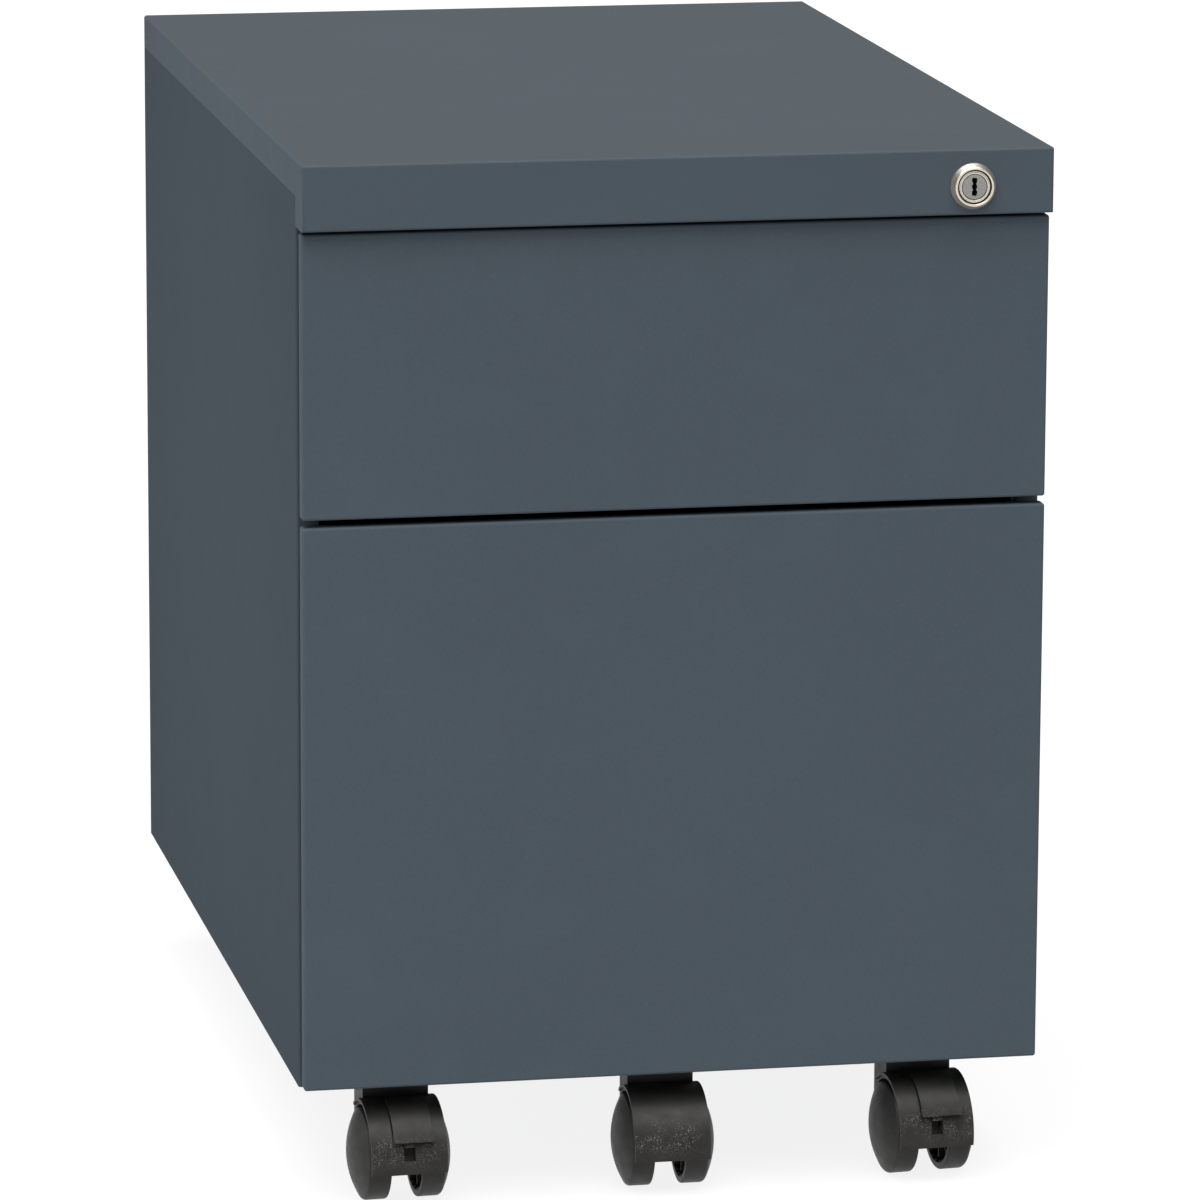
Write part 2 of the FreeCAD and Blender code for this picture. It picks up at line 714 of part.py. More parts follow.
def lock_bar():
    """Flat bar behind the right return, with an arm to the crank and a hook for each drawer."""
    body = body_named("lock_bar")
    pin_z = f"({LOCK_Z} + crank_arm * cos(45))"
    arm_low, arm_high = f"{pin_z} - 5", f"{pin_z} + 5"
    outline = [
        ("bar_inner", "bar_low"), ("bar_outer", "bar_low"), ("bar_outer", arm_high), ("lock_x + 2", arm_high),
        ("lock_x + 2", arm_low), ("bar_inner", arm_low),
    ]
    for level in ("upper_catch_z", "file_catch_z"):
        hook = f"{level} + catch_half + hook_clearance"
        outline += [("bar_inner", f"{hook} + hook_height"), ("hook_reach", f"{hook} + hook_height"),
                    ("hook_reach", hook), ("bar_inner", hook)]
    start = f"({LIP} + 25.4)"
    add(body, "XZ_Plane", outline, start, f"{start} + bar_gauge")
    slot_half = "(crank_pin_radius + pin_play)"
    slot = rectangle("lock_x + 3.1", f"{pin_z} - {slot_half}", "lock_x + 10.7", f"{pin_z} + {slot_half}")
    carve(body, "XZ_Plane", [slot], f"{start} - 1", f"{start} + bar_gauge + 1")
    return body


def lock_guides():
    """Two clips on the right return that the bar slides in."""
    clips = []
    for index, level in enumerate(("300", "500")):
        body = body_named(f"lock_guide_{index}", keep=False)
        start = f"({EDGE} + sheet)"
        high = f"{level} + guide_height"
        add(body, "XY_Plane", rectangle("bar_inner - 1.3", start, "bar_outer + 1.4", f"{start} + 5.6"), level, high)
        slot = rectangle("bar_inner - 0.2", f"{LIP} + 25.2", "bar_outer + 0.2", f"{LIP} + 25.6 + bar_gauge")
        carve(body, "XY_Plane", [slot], f"{level} - 1", f"{high} + 1")
        clips.append(body)
    group("lock_bar_guides", clips)


# ---- castors ----

def at_wheel(radius, angle):
    """Point in the castor's side view, at a radius from the axle and an angle up from the front."""
    return (f"-trail - ({radius}) * cos({angle})", f"axle_height + ({radius}) * sin({angle})")


def sector(inner, outer, start, end):
    """Outline of a ring sector about the axle, seen from the side."""
    return [
        at_wheel(inner, start), (*at_wheel(outer, start), f"-({outer})"), at_wheel(outer, end),
        (*at_wheel(inner, end), inner),
    ]


CASTORS = {
    "front_left": (LEFT_CASTOR, f"{LIP} + castor_front", 3, True),
    "front_right": (RIGHT_CASTOR, f"{LIP} + castor_front", 4.4, True),
    "rear_left": (LEFT_CASTOR, f"{REAR} - castor_rear", 84, False),
    "rear_right": (RIGHT_CASTOR, f"{REAR} - castor_rear", 11, False),
    "drawer": (DRAWER_CASTOR, f"{LIP} + castor_front", 0, False),
}


def plate_holes(x, y):
    return [(f"{x} + ({a}) * screw_spacing / 2", f"{y} + ({b}) * screw_spacing / 2") for a in (-1, 1) for b in (-1, 1)]


def corner_screw_places():
    """Castor screws in the base pan, for the four corner castors."""
    return [hole for name, (x, y, turn, brake) in CASTORS.items() if name != "drawer" for hole in plate_holes(x, y)]


def castor_mount(name, x, y):
    """Square plate, and the pintle riveted under it that the castor swivels on."""
    plate = body_named(f"castor_{name}_plate", keep=False)
    low = f"({UNDER} - plate_gauge)"
    add(plate, "XY_Plane", rectangle(f"{x} - plate_half", f"{y} - plate_half", f"{x} + plate_half",
                                     f"{y} + plate_half"), low, UNDER)
    round_edges(plate, "plate_corner", lambda way, at: abs(way.z) > 0.9)
    holes = [("circle", hole_x, hole_y, "castor_screw_hole") for hole_x, hole_y in plate_holes(x, y)]
    carve(plate, "XY_Plane", holes, f"{low} - 1", f"{UNDER} + 1")
    heads = [("circle", hole_x, hole_y, "4.1") for hole_x, hole_y in plate_holes(x, y)]
    carve(plate, "XY_Plane", heads, f"{low} - 1", f"{low} + 1.5")
    pintle = rod(f"castor_{name}_pintle", "pintle_radius", (x, y, "pintle_end"), f"{low} - pintle_end", "Z", keep=False)
    return [plate, pintle]


def castor_screws(label, places):
    """Flat-headed screws up through the plates."""
    screws = []
    for index, (x, y) in enumerate(places):
        low = f"{UNDER} - plate_gauge"
        head = rod(f"{label}_head_{index}", "3.9", (x, y, f"{low} + 0.1"), "1.4", "Z", keep=False)
        shank = rod(f"{label}_shank_{index}", "2", (x, y, f"{low} + 0.2"), "8.5", "Z", keep=False)
        screws.append(fused(f"{label}_{index}", [head, shank], keep=False))
    group(label, screws)


def castor_hood(name, brake):
    """Hood over two wheels, with the swivel socket behind it and a web to the axle between them."""
    body = body_named(f"castor_{name}_hood")
    half, wide = "hood_half", "(hood_half + 2)"
    turret = rectangle("-turret_half", "-turret_depth", "turret_half", "turret_depth")
    add(body, "XY_Plane", turret, "turret_low", "turret_high")
    round_edges(body, "turret_corner", lambda way, at: abs(way.z) > 0.9 and at.y > 0)
    add(body, "YZ_Plane", sector("hood_bore", "hood_radius", "hood_front", "hood_rear"), f"-{half}", half)
    wheel_space = [("circle", "-trail", "axle_height", "hood_bore")]
    carve(body, "YZ_Plane", wheel_space, "web_half", wide)
    carve(body, "YZ_Plane", wheel_space, f"-{wide}", "-web_half")
    rim = [("circle", "-trail", "axle_height", "rim_bore")]
    carve(body, "YZ_Plane", rim, "hood_half - hood_rim", wide)
    carve(body, "YZ_Plane", rim, f"-{wide}", "-(hood_half - hood_rim)")
    web = [("-31", "axle_height"), ("-31", "42"), ("-13", "46"), ("2", "46"), ("2", "turret_low"),
           ("-9", "axle_height")]
    add(body, "YZ_Plane", web, "-web_half", "web_half")
    add(body, "YZ_Plane", ("circle", "-trail", "axle_height", "boss_radius"), "-web_half", "web_half")
    carve(body, "XY_Plane", [("circle", "0", "0", "pintle_radius + pintle_fit")], "pintle_end - 1",
          "turret_high + 1")
    carve(body, "YZ_Plane", [("circle", "-trail", "axle_height", "axle_radius")], "-web_half - 1", "web_half + 1")
    if brake:
        inner, outer = "hood_bore - 2.8", "hood_radius + 4.5"
        carve(body, "YZ_Plane", [sector(inner, outer, "lever_front - 3.2", "lever_rear + 4")],
              "lever_left - lever_play", "lever_right + lever_play")
        carve(body, "YZ_Plane", [sector(inner, outer, "4.5", "25")], "-tab_half - 0.4", "tab_half + 0.4")
        pivot = at_wheel("pivot_radius", "pivot_angle")
        carve(body, "YZ_Plane", [("circle", *pivot, "pivot_pin + 0.06")], "lever_left - 2.3", "lever_right + 2.3")
    return body


def brake_lever(name):
    """Curved pedal in the hood's opening, on two trunnions, with a lip over the hood and a tab in its slot."""
    body = body_named(f"castor_{name}_brake_lever")
    left, right = "lever_left", "lever_right"
    pivot = at_wheel("pivot_radius", "pivot_angle")
    add(body, "YZ_Plane", sector("lever_bore", "lever_radius", "lever_front", "lever_rear"), left, right)
    add(body, "YZ_Plane", ("circle", *pivot, "2.3"), left, right)
    add(body, "YZ_Plane", sector("lip_bore", "lip_radius", "lever_front - lip_reach", "lever_front + 4.5"),
        f"{left} - lip_overhang", f"{right} + lip_overhang")
    add(body, "YZ_Plane", sector("lever_bore - 0.6", "lever_radius - 0.8", "lever_front - 8", "lever_front + 2"),
        "-tab_half", "tab_half")
    add(body, "YZ_Plane", sector("lever_bore - 1.6", "lever_bore + 0.3", "lever_front + 6", "lever_front + 18"),
        f"{right} - 4.4", f"{right} - 0.4")
    add(body, "YZ_Plane", ("circle", *pivot, "pivot_pin"), f"{left} - 2", f"{right} + 2")
    return body


# how far the outer side of a wheel falls back from its middle, and at what radius
DOME = [(7.1, 24.66), (6.25, 23.79), (4.3, 20), (2.63, 16), (1.4, 12), (0.53, 8), (0, 3), (0, 0)]


def wheel(name, side, sign):
    """Domed wheel with a dished inner side."""
    body = body_named(f"castor_{name}_{side}_wheel")
    bore = "axle_radius + wheel_fit"
    profile = [
        ("wheel_inner", bore), ("wheel_inner", "wheel_hub"), ("wheel_inner + 3", "wheel_hub + 0.5"),
        ("wheel_inner + 9.5", "wheel_hub + 1.5"),
        ("wheel_inner + 9.5", "20"), ("wheel_inner + 0.4", "21.5"), ("wheel_inner + 0.4", "wheel_radius - 0.8"),
        ("wheel_inner + 1.2", "wheel_radius"), ("tread_end", "wheel_radius"),
        *[(f"wheel_outer - {fall}", str(radius)) for fall, radius in DOME],
        ("axle_half + 0.3", "0"), ("axle_half + 0.3", bore),
    ]
    points = [(f"{sign} * ({point[0]})", *point[1:]) for point in profile]
    turned(body, points, "H_Axis", "axle_height", ("0", "-trail"))
    return body


def castors():
    mounts = []
    for name, (x, y, turn, brake) in CASTORS.items():
        mount = castor_mount(name, x, y)
        if name == "drawer":
            group("castor_drawer_mount", mount)
        else:
            mounts += mount
        parts = [castor_hood(name, brake)]
        parts.append(rod(f"castor_{name}_axle", "axle_radius", ("-axle_half", "-trail", "axle_height"),
                         "2 * axle_half", "X"))
        parts += [wheel(name, "left", -1), wheel(name, "right", 1)]
        if brake:
            parts.append(brake_lever(name))
        for piece in parts:
            stand(piece, x, y, turn)
    group("corner_castor_mounts", mounts)
    castor_screws("corner_castor_screws", corner_screw_places())
    drawer_x, drawer_y = CASTORS["drawer"][:2]
    castor_screws("drawer_castor_screws", plate_holes(drawer_x, drawer_y))


def stand(piece, x, y, turn):
    """Move a castor's piece from its own frame, whose Z is the swivel axis, to its place."""
    if piece.TypeId == "Part::Cylinder":
        tilt = FreeCAD.Rotation(FreeCAD.Vector(0, 1, 0), 90)
        piece.Placement = FreeCAD.Placement(FreeCAD.Vector(), FreeCAD.Rotation(FreeCAD.Vector(0, 0, 1), turn) * tilt)
        piece.setExpression("Placement.Base.x", formula(f"{x} - axle_half * cos({turn}) + trail * sin({turn})"))
        piece.setExpression("Placement.Base.y", formula(f"{y} - axle_half * sin({turn}) - trail * cos({turn})"))
    else:
        put(piece, x, y, "0", turn)


def check_and_write():
    """Every object must have recomputed, and every node must be a valid shape, before any file is written."""
    doc.recompute()
    failed = [thing.Name for thing in doc.Objects if {"Invalid", "Error"} & set(thing.State)]
    if failed:
        raise RuntimeError(f"failed objects: {failed}")
    for node in nodes:
        if node.Shape.isNull() or not node.Shape.isValid():
            raise RuntimeError(f"{node.Label} has no valid shape")
    os.makedirs("parts", exist_ok=True)
    for node in nodes:
        node.Shape.exportStep(f"parts/{node.Label}.step")
        print(f"{node.Label}: {len(node.Shape.Solids)} solids, {node.Shape.Volume:.0f} mm3")
    print(len(nodes), "nodes")


fill_sheet()
side_panel("left", -1)
side_panel("right", 1)
top_panel()
base_panel()
back_panel()
for end_name, end_y in (("front", RUNNER_Y), ("rear", f"({RUNNER_Y} + runner_length - upright_width - 6)")):
    for side_name, side_sign in (("left", -1), ("right", 1)):
        upright(end_name, side_name, side_sign, end_y)
runners()
drawers()
lock_housing()
lock_nut()
lock_plug()
lock_crank()
lock_bar()
lock_guides()
castors()
check_and_write()
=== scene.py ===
"""Looks of the mobile steel pedestal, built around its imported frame.

Everything is in metres, in the part's own frame: +X right seen from the front, front towards -Y, +Z up.
"""

import json
import math

import bmesh
import bpy
from mathutils import Matrix, Vector


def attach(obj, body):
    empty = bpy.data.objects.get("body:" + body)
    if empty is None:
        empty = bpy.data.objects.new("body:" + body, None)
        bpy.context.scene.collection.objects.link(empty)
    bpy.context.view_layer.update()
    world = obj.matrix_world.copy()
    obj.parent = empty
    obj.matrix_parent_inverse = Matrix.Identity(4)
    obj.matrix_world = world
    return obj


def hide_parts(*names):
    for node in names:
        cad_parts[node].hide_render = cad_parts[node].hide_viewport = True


MM = 0.001
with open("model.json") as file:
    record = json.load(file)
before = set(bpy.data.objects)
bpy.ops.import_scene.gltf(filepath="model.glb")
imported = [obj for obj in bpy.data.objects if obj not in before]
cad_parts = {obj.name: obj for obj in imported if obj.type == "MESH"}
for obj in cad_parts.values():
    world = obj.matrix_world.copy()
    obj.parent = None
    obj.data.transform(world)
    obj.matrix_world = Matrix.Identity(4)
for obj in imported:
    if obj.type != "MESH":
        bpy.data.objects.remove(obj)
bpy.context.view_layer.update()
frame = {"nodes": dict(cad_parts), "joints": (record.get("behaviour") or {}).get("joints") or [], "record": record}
NODES = frame["nodes"]
JOINTS = {joint["name"]: joint for joint in frame["joints"]}


# ---- camera ----

CAMERA_PLACE = Vector((-0.79049, -4.0616, 1.144))
CAMERA_AZIMUTH, CAMERA_ELEVATION, CAMERA_ROLL = 0.19619, 0.20932, 0.00442
CAMERA_LENS, SENSOR_WIDTH, CAMERA_REACH = 224.04, 36, 60


def make_camera():
    forward = Vector((math.sin(CAMERA_AZIMUTH) * math.cos(CAMERA_ELEVATION),
                      math.cos(CAMERA_AZIMUTH) * math.cos(CAMERA_ELEVATION), -math.sin(CAMERA_ELEVATION)))
    level = Vector((math.cos(CAMERA_AZIMUTH), -math.sin(CAMERA_AZIMUTH), 0))
    above = level.cross(forward)
    right = level * math.cos(CAMERA_ROLL) + above * math.sin(CAMERA_ROLL)
    up = above * math.cos(CAMERA_ROLL) - level * math.sin(CAMERA_ROLL)
    data = bpy.data.cameras.new("camera")
    data.lens, data.sensor_width, data.clip_end = CAMERA_LENS, SENSOR_WIDTH, CAMERA_REACH
    camera = bpy.data.objects.new("camera", data)
    camera.matrix_world = Matrix((
        (right.x, up.x, -forward.x, CAMERA_PLACE.x), (right.y, up.y, -forward.y, CAMERA_PLACE.y),
        (right.z, up.z, -forward.z, CAMERA_PLACE.z), (0, 0, 0, 1)))
    bpy.context.scene.collection.objects.link(camera)
    bpy.context.scene.camera = camera


# ---- materials ----

class Graph:
    """A node material under construction."""

    def __init__(self, name):
        self.material = bpy.data.materials.new(name)
        self.material.use_nodes = True
        self.nodes = self.material.node_tree.nodes
        self.shader = self.nodes["Principled BSDF"]
        self.place = self.add("ShaderNodeTexCoord").outputs["Object"]

    def add(self, kind, values=None, **settings):
        made = self.nodes.new(kind)
        for key, value in settings.items():
            setattr(made, key, value)
        for key, value in (values or {}).items():
            self.feed(made.inputs[key], value)
        return made

    def feed(self, socket, value):
        if isinstance(value, bpy.types.NodeSocket):
            self.material.node_tree.links.new(value, socket)
        else:
            socket.default_value = value

    def noise(self, size, detail=2.0, place=None, distortion=0.0):
        """Noise from 0 to 1 whose features are about this size in metres."""
        made = self.add("ShaderNodeTexNoise", {
            "Vector": place or self.place, "Scale": 1 / size, "Detail": detail, "Distortion": distortion})
        return made.outputs["Fac"]

    def ramp(self, value, low, high, start=0.0, end=1.0):
        made = self.add("ShaderNodeMapRange", {
            "Value": value, "From Min": low, "From Max": high, "To Min": start, "To Max": end})
        return made.outputs["Result"]

    def maths(self, operation, first, second=0.0):
        return self.add("ShaderNodeMath", {0: first, 1: second}, operation=operation).outputs[0]

    def blend(self, share, first, second):
        made = self.add("ShaderNodeMix", data_type="RGBA")
        for index, value in ((0, share), (6, first), (7, second)):
            if not isinstance(value, bpy.types.NodeSocket) and index:
                value = (*value, 1)
            self.feed(made.inputs[index], value)
        return made.outputs[2]

    def bump(self, height, depth, under=None):
        values = {"Height": height, "Distance": depth, "Strength": 1.0}
        if under is not None:
            values["Normal"] = under
        return self.add("ShaderNodeBump", values).outputs["Normal"]

    def finish(self, **sockets):
        for key, value in sockets.items():
            self.feed(self.shader.inputs[key.replace("_", " ")], value)
        return self.material


def scaled(colour, amount):
    return tuple(part * amount for part in colour)


PAINT = (0.0585, 0.0752, 0.0905)
# Grey blended into faces that look up: painted sheen, standing in for the sky's light on the top.
PAINTED_SHEEN_GREY = (0.055, 0.055, 0.054)


def powder_coat(name, colour, sheen, roughness, smudges=0.0, painted_sheen=0.0):
    """Fine textured powder coat over sheet steel that isn't quite flat. Faces that look up are blended towards a
    grey: painted sheen, standing in for the sky's light on the top.
    """
    graph = Graph(name)
    cloud = graph.ramp(graph.noise(0.16, 3), 0.3, 0.7)
    grain = graph.noise(0.0008, 2)
    tone = graph.blend(cloud, scaled(colour, 0.98), scaled(colour, 1.02))
    fleck = graph.ramp(grain, 0.56, 0.78)
    tone = graph.blend(graph.maths("MULTIPLY", fleck, 0.16), tone, scaled(colour, 1.8))
    pit = graph.ramp(grain, 0.44, 0.24)
    tone = graph.blend(graph.maths("MULTIPLY", pit, 0.22), tone, scaled(colour, 0.55))
    rub = graph.ramp(graph.noise(0.055, 4, distortion=0.7), 0.52, 0.74)
    if smudges:
        tone = graph.blend(graph.maths("MULTIPLY", rub, smudges), tone, scaled(colour, 1.2))
    # Painted sheen: faces that look up are blended towards a grey, as if lit by the sky.
    if painted_sheen:
        normal = graph.add("ShaderNodeNewGeometry").outputs["Normal"]
        upward = graph.add("ShaderNodeSeparateXYZ", {0: normal}).outputs[2]
        tone = graph.blend(graph.ramp(upward, 0.8, 0.95, 0.0, painted_sheen), tone, PAINTED_SHEEN_GREY)
    matt = graph.ramp(graph.noise(0.02, 3), 0.25, 0.75, roughness - 0.04, roughness + 0.04)
    gloss = graph.maths("ADD", matt, graph.maths("MULTIPLY", rub, -0.03))
    wave = graph.bump(graph.noise(0.19, 1), 0.0004)
    peel = graph.bump(graph.noise(0.0026, 2), 0.00005, wave)
    skin = graph.bump(grain, 0.00004, peel)
    return graph.finish(Base_Color=tone, Roughness=gloss, Normal=skin, Specular_IOR_Level=sheen)


def moulded(name, colour, roughness, specks):
    """Fine grained black plastic with a few pale specks of dust and scuffs."""
    graph = Graph(name)
    grain = graph.noise(0.00045, 3)
    cloud = graph.ramp(graph.noise(0.014, 3), 0.3, 0.7)
    tone = graph.blend(cloud, scaled(colour, 0.8), scaled(colour, 1.3))
    dust = graph.ramp(graph.noise(0.0006, 1), 0.58, 0.68)
    height = graph.add("ShaderNodeSeparateXYZ", {0: graph.place}).outputs[2]
    belly = graph.maths("MULTIPLY", graph.ramp(height, 0.021, 0.029), graph.ramp(height, 0.043, 0.036))
    patch = graph.maths("MULTIPLY", graph.ramp(graph.noise(0.011, 2), 0.4, 0.56), belly)
    share = graph.maths("MULTIPLY", graph.maths("MULTIPLY", dust, patch), specks)
    tone = graph.blend(share, tone, (0.25, 0.23, 0.205))
    gloss = graph.ramp(graph.noise(0.006, 3), 0.3, 0.7, roughness - 0.05, roughness + 0.07)
    skin = graph.bump(grain, 0.00003, graph.bump(graph.noise(0.004, 2), 0.00005))
    return graph.finish(Base_Color=tone, Roughness=gloss, Normal=skin, Specular_IOR_Level=0.3)


def zinc_plate(name, colour=(0.55, 0.56, 0.57)):
    """Zinc plate with a soft spangle and rolling marks along Y."""
    graph = Graph(name)
    stretched = graph.add("ShaderNodeMapping", {"Vector": graph.place, "Scale": (1, 0.04, 1)})
    lines = graph.noise(0.0009, 3, stretched.outputs["Vector"])
    spangle = graph.add("ShaderNodeTexVoronoi", {"Vector": graph.place, "Scale": 190.0}).outputs["Color"]
    flake = graph.add("ShaderNodeSeparateColor", {"Color": spangle}).outputs[0]
    tone = graph.blend(graph.ramp(flake, 0, 1), scaled(colour, 0.86), scaled(colour, 1.1))
    gloss = graph.maths("ADD", graph.ramp(flake, 0, 1, 0.3, 0.4), graph.ramp(lines, 0.3, 0.7, -0.04, 0.06))
    return graph.finish(Base_Color=tone, Roughness=gloss, Metallic=1.0, Normal=graph.bump(lines, 0.00002))


def turned_metal(name, colour, roughness, centre, cast=0.0):
    """Satin plated metal with turning marks around an axis along Y. A cast face is rougher, with no marks."""
    graph = Graph(name)
    moved = graph.add("ShaderNodeVectorMath", {0: graph.place, 1: centre}, operation="SUBTRACT").outputs[0]
    parts = graph.add("ShaderNodeSeparateXYZ", {0: moved}).outputs
    radius = graph.maths("SQRT", graph.maths("ADD", graph.maths("MULTIPLY", parts[0], parts[0]),
                                             graph.maths("MULTIPLY", parts[2], parts[2])))
    angle = graph.maths("ARCTAN2", parts[2], parts[0])
    around = graph.maths("MULTIPLY", angle, 0.0008)
    ring = graph.add("ShaderNodeCombineXYZ", {0: radius, 1: parts[1], 2: around})
    marks = graph.noise(0.00016, 2, ring.outputs[0])
    pits = graph.noise(0.0007, 3)
    tone = graph.blend(graph.ramp(pits, 0.35, 0.7), scaled(colour, 0.84), colour)
    gloss = graph.ramp(marks, 0.3, 0.7, roughness - 0.05, roughness + 0.07)
    skin = graph.bump(pits, 0.00022 * cast) if cast else graph.bump(marks, 0.000006)
    return graph.finish(Base_Color=tone, Roughness=gloss, Metallic=1.0, Normal=skin)


def dark_gap(name):
    """The inside of a slot: painted shade, standing in for the shadow in it, with a little grease."""
    graph = Graph(name)
    shade_mottle = graph.noise(0.0012, 3)
    tone = graph.blend(shade_mottle, (0.004, 0.004, 0.004), (0.016, 0.015, 0.014))
    gloss = graph.ramp(shade_mottle, 0, 1, 0.5, 0.75)
    return graph.finish(Base_Color=tone, Roughness=gloss, Normal=graph.bump(shade_mottle, 0.00005))


LOCK_CENTRE = Vector(JOINTS["lock_turn"]["pos_m"])
MATERIALS = {
    # The carcass paint is the same paint scaled to 0.78: painted shade, a darker copy for the sides and back
    # because they fall in shade.
    "carcass_paint": powder_coat("carcass_paint", scaled(PAINT, 0.78), 0.008, 0.75),
    # The top takes a painted sheen on its upward faces.
    "top_paint": powder_coat("top_paint", PAINT, 0.03, 0.7, 0.1, 0.36),
    "front_paint": powder_coat("front_paint", PAINT, 0.03, 0.7, 0.22),
    "tray_paint": powder_coat("tray_paint", PAINT, 0.05, 0.62),
    "zinc": zinc_plate("zinc"),
    "lock_ring": turned_metal("lock_ring", (0.88, 0.80, 0.68), 0.38, LOCK_CENTRE),
    "lock_core": turned_metal("lock_core", (0.85, 0.82, 0.77), 0.34, LOCK_CENTRE),
    "lock_cast": turned_metal("lock_cast", (0.40, 0.39, 0.37), 0.42, LOCK_CENTRE, cast=1.0),
    # lock_gap is painted shade for the lock's groove, bore and keyway.
    "lock_gap": dark_gap("lock_gap"),
    "castor_nylon": moulded("castor_nylon", (0.0135, 0.0127, 0.0118), 0.52, 0.6),
    "castor_tread": moulded("castor_tread", (0.0115, 0.011, 0.0105), 0.5, 0.06),
}


# ---- shading of meshes ----

SHARP_ANGLE = math.radians(34)
BEVEL_ANGLE = math.radians(40)
FLAT_ANGLE = math.radians(0.4)
WELD_DISTANCE = 0.01 * MM


def shade_by_angle():
    """Node group that smooths faces and keeps edges over 34 degrees, and edges that solids share, sharp."""
    tree = bpy.data.node_groups.new("shade_by_angle", "GeometryNodeTree")
    tree.interface.new_socket("Geometry", in_out="INPUT", socket_type="NodeSocketGeometry")
    tree.interface.new_socket("Geometry", in_out="OUTPUT", socket_type="NodeSocketGeometry")
    start, end = tree.nodes.new("NodeGroupInput"), tree.nodes.new("NodeGroupOutput")
    smooth = tree.nodes.new("GeometryNodeSetShadeSmooth")
    sharp = tree.nodes.new("GeometryNodeSetShadeSmooth")
    sharp.domain = "EDGE"
    sharp.inputs["Shade Smooth"].default_value = False
    angle = tree.nodes.new("GeometryNodeInputMeshEdgeAngle")
    over = tree.nodes.new("FunctionNodeCompare")
    over.operation = "GREATER_THAN"
    over.inputs[1].default_value = SHARP_ANGLE
    neighbours = tree.nodes.new("GeometryNodeInputMeshEdgeNeighbors")
    shared = tree.nodes.new("FunctionNodeCompare")
    shared.data_type, shared.operation = "INT", "NOT_EQUAL"
    shared.inputs[3].default_value = 2
    either = tree.nodes.new("FunctionNodeBooleanMath")
    either.operation = "OR"
    links = (
        (start.outputs[0], smooth.inputs["Geometry"]),
        (smooth.outputs[0], sharp.inputs["Geometry"]),
        (sharp.outputs[0], end.inputs[0]),
        (angle.outputs["Unsigned Angle"], over.inputs[0]),
        (neighbours.outputs[0], shared.inputs[2]),
        (over.outputs[0], either.inputs[0]),
        (shared.outputs[0], either.inputs[1]),
        (either.outputs[0], sharp.inputs["Selection"]),
    )
    for one, other in links:
        tree.links.new(one, other)
    return tree


SMOOTHING = shade_by_angle()


def shade(piece, edge=0.0, segments=3, clean=False):
    """Bevelled edges and smooth shading, as modifiers."""
    if clean:
        weld = piece.modifiers.new("weld", "WELD")
        weld.merge_threshold = WELD_DISTANCE
        merge = piece.modifiers.new("merge", "DECIMATE")
        merge.decimate_type = "DISSOLVE"
        merge.angle_limit = FLAT_ANGLE
    if edge:
        bevel = piece.modifiers.new("edges", "BEVEL")
        bevel.width, bevel.segments = edge, segments
        bevel.limit_method, bevel.angle_limit = "ANGLE", BEVEL_ANGLE
        bevel.use_clamp_overlap = True
    piece.modifiers.new("smooth", "NODES").node_group = SMOOTHING
    normals = piece.modifiers.new("normals", "WEIGHTED_NORMAL")
    normals.keep_sharp = True


def edge_width(name):
    """Bevel width of a carried-over node, in metres."""
    if name.endswith(("_hood", "_lever")):
        return 0.6 * MM
    if name.endswith(("_axle", "_screws", "_nut")):
        return 0.35 * MM
    return 0.28 * MM


def finish_node(name, slot):
    node = NODES[name]
    material = MATERIALS[slot]
    node.data.materials.clear()
    node.data.materials.append(material)
    for entry in node.material_slots:
        entry.material = material
    shade(node, edge_width(name), clean=True)


# ---- pieces that replace plain CAD solids ----

def piece_from(name, mesh_builder, body, materials, replaced):
    """A mesh object made by a function that fills a bmesh."""
    work = bmesh.new()
    mesh_builder(work)
    bmesh.ops.remove_doubles(work, verts=work.verts, dist=1e-7)
    bmesh.ops.recalc_face_normals(work, faces=work.faces)
    mesh = bpy.data.meshes.new(name)
    work.to_mesh(mesh)
    work.free()
    for material in materials:
        mesh.materials.append(MATERIALS[material])
    piece = bpy.data.objects.new(name, mesh)
    bpy.context.scene.collection.objects.link(piece)
    shade(piece)
    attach(piece, body)
    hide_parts(replaced)


def revolve(work, rings, matrix, material_of=None):
    """Surface through rings of points. A ring with one point closes the surface at the axis."""
    made = [[work.verts.new(matrix @ Vector(point)) for point in ring] for ring in rings]
    for index, (first, second) in enumerate(zip(made, made[1:])):
        count = max(len(first), len(second))
        for step in range(count):
            after = (step + 1) % count
            if len(first) == 1:
                corners = (first[0], second[after], second[step])
            elif len(second) == 1:
                corners = (first[step], first[after], second[0])
            else:
                corners = (first[step], first[after], second[after], second[step])
            face = work.faces.new(corners)
            if material_of:
                face.material_index = material_of(index)


def arc_points(centre, radius, start, end, count):
    """Points of an arc in (along, radius) coordinates, by angle in degrees from the along axis."""
    turns = [math.radians(start + (end - start) * step / count) for step in range(count + 1)]
    return [(centre[0] + radius * math.cos(turn), centre[1] + radius * math.sin(turn)) for turn in turns]


WHEEL_STEPS = 240
DOME_RADIUS, DOME_CENTRE = 47.4, 19.95
RIB_FACE, TOOTH_DEPTH = 10.4, 0.9
RIB_PERIOD, RIB_STEPS = 30, 3
TOOTH_PERIOD, TOOTH_STEPS = 10, 5


